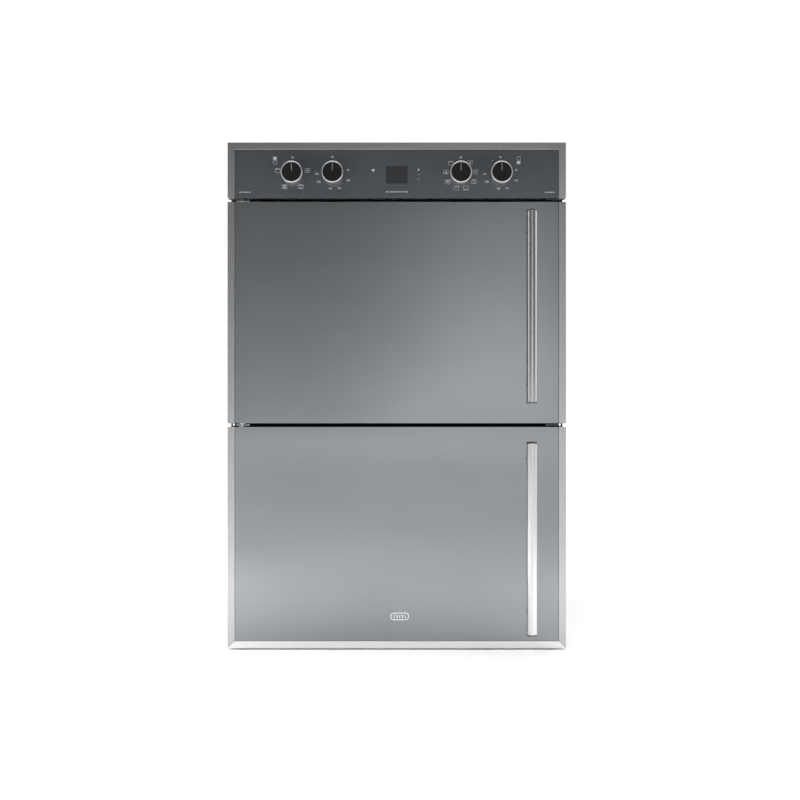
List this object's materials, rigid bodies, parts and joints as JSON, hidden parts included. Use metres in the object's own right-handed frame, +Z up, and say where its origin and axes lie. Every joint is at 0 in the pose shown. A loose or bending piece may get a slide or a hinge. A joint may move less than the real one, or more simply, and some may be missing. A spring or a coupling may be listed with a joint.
{
  "type": "wall oven",
  "caption": "Built-in double wall oven with two side-opening mirror-glass doors, bar handles, control knobs, enamelled cavities, shelves, trays, heating elements and cooling blower.",
  "frame": {"origin": "centre of the whole oven's footprint, on the plane that its base rails stand on", "axes": "+Z up, the doors and control panel face -Y, +X to the right seen from the front"},
  "size_m": [0.594, 0.6564, 0.891],
  "materials": {
    "galvanised_steel": "galvanised sheet steel with a faint spangle",
    "black_enamel": "black vitreous enamel",
    "cavity_enamel": "dark grey-blue speckled vitreous enamel",
    "mineral_wool": "pale mineral wool",
    "seal_rubber": "black silicone seal",
    "chromed_wire": "bright chromed wire",
    "element_steel": "dark heat-tinted tube",
    "motor_steel": "dark laminated steel",
    "bare_aluminium": "plain pressed sheet",
    "lamp_glass": "clear domed lamp glass",
    "white_plastic": "off-white moulded",
    "black_plastic": "black moulded",
    "brushed_steel": "satin stainless steel, fine grain along its length",
    "fitting_steel": "satin steel",
    "panel_glass": "dark grey glass, printed behind",
    "mirror_glass": "grey half-mirrored glass",
    "clear_glass": "clear pane",
    "door_steel": "dark enamelled sheet",
    "hinge_steel": "zinc-plated plate and pin",
    "knob_metal": "satin turned skirt",
    "knob_black": "black moulded cap with a pale pointer line"
  },
  "bodies": {
    "cabinet": {"side_panel_left": "galvanised_steel", "side_panel_right": "galvanised_steel", "top_cover": "galvanised_steel", "base_plate": "galvanised_steel", "rear_cover": "galvanised_steel", "blower_housing": "galvanised_steel", "control_bracket": "galvanised_steel", "front_frame": "black_enamel", "door_catches": "black_enamel", "upper_cavity": "cavity_enamel", "lower_cavity": "cavity_enamel", "fan_cover": "cavity_enamel", "insulation_blankets": "mineral_wool", "door_gaskets": "seal_rubber", "upper_side_racks": "chromed_wire", "lower_side_racks": "chromed_wire", "upper_grill_element": "element_steel", "upper_base_element": "element_steel", "lower_grill_element": "element_steel", "ring_element": "element_steel", "fan_motor": "motor_steel", "blower_motor": "motor_steel", "oven_lamps": "lamp_glass", "terminal_box": "white_plastic", "rotary_switches": "white_plastic", "cable_gland": "black_plastic", "display_module": "black_plastic", "fascia_frame": "brushed_steel", "fascia_glass": "panel_glass", "hinge_arm_top": "hinge_steel", "hinge_arm_middle": "hinge_steel", "hinge_arm_bottom": "hinge_steel"},
    "upper_door": {"upper_door_glass": "mirror_glass", "upper_door_edging": "brushed_steel", "upper_door_body": "door_steel", "upper_door_middle_pane": "clear_glass", "upper_door_inner_pane": "clear_glass", "upper_handle_bar": "brushed_steel", "upper_handle_fittings": "fitting_steel"},
    "lower_door": {"lower_door_glass": "mirror_glass", "lower_door_edging": "brushed_steel", "lower_door_body": "door_steel", "lower_door_middle_pane": "clear_glass", "lower_door_inner_pane": "clear_glass", "lower_handle_bar": "brushed_steel", "lower_handle_fittings": "fitting_steel"},
    "upper_function_knob": {"upper_function_knob_skirt": "knob_metal", "upper_function_knob_cap": "knob_black"},
    "upper_thermostat_knob": {"upper_thermostat_knob_skirt": "knob_metal", "upper_thermostat_knob_cap": "knob_black"},
    "upper_shelf": {"upper_wire_shelf": "chromed_wire"},
    "upper_tray": {"upper_baking_tray": "black_enamel"},
    "lower_function_knob": {"lower_function_knob_skirt": "knob_metal", "lower_function_knob_cap": "knob_black"},
    "lower_thermostat_knob": {"lower_thermostat_knob_skirt": "knob_metal", "lower_thermostat_knob_cap": "knob_black"},
    "lower_shelf": {"lower_wire_shelf": "chromed_wire"},
    "lower_tray": {"lower_baking_tray": "black_enamel"},
    "fan": {"fan_wheel": "bare_aluminium"},
    "blower": {"blower_wheel": "motor_steel"}
  },
  "joints": [
    {"name": "upper_door_hinge", "type": "hinge", "parent": "cabinet", "child": "upper_door", "pos_m": [-0.272, -0.26075, 0.59225], "axis": [0, 0, -1], "range_deg": [0, 110]},
    {"name": "lower_door_hinge", "type": "hinge", "parent": "cabinet", "child": "lower_door", "pos_m": [-0.272, -0.26075, 0.19725], "axis": [0, 0, -1], "range_deg": [0, 110]},
    {"name": "upper_function_knob_turn", "type": "hinge", "parent": "cabinet", "child": "upper_function_knob", "pos_m": [-0.183, -0.26925, 0.8357], "axis": [0, 1, 0], "continuous": true},
    {"name": "upper_thermostat_knob_turn", "type": "hinge", "parent": "cabinet", "child": "upper_thermostat_knob", "pos_m": [-0.112, -0.26925, 0.8357], "axis": [0, 1, 0], "range_deg": [0, 290]},
    {"name": "lower_function_knob_turn", "type": "hinge", "parent": "cabinet", "child": "lower_function_knob", "pos_m": [0.112, -0.26925, 0.8357], "axis": [0, 1, 0], "continuous": true},
    {"name": "lower_thermostat_knob_turn", "type": "hinge", "parent": "cabinet", "child": "lower_thermostat_knob", "pos_m": [0.183, -0.26925, 0.8357], "axis": [0, 1, 0], "range_deg": [0, 290]},
    {"name": "upper_shelf_slide", "type": "slide", "parent": "cabinet", "child": "upper_shelf", "axis": [0, -1, 0], "range_m": [0, 0.028]},
    {"name": "upper_tray_slide", "type": "slide", "parent": "cabinet", "child": "upper_tray", "axis": [0, -1, 0], "range_m": [0, 0.028]},
    {"name": "lower_shelf_slide", "type": "slide", "parent": "cabinet", "child": "lower_shelf", "axis": [0, -1, 0], "range_m": [0, 0.028]},
    {"name": "lower_tray_slide", "type": "slide", "parent": "cabinet", "child": "lower_tray", "axis": [0, -1, 0], "range_m": [0, 0.028]},
    {"name": "fan_spin", "type": "hinge", "parent": "cabinet", "child": "fan", "pos_m": [0, 0.16625, 0.19725], "axis": [0, 1, 0], "continuous": true},
    {"name": "blower_spin", "type": "hinge", "parent": "cabinet", "child": "blower", "pos_m": [-0.05, -0.07375, 0.826], "axis": [1, 0, 0], "continuous": true}
  ]
}
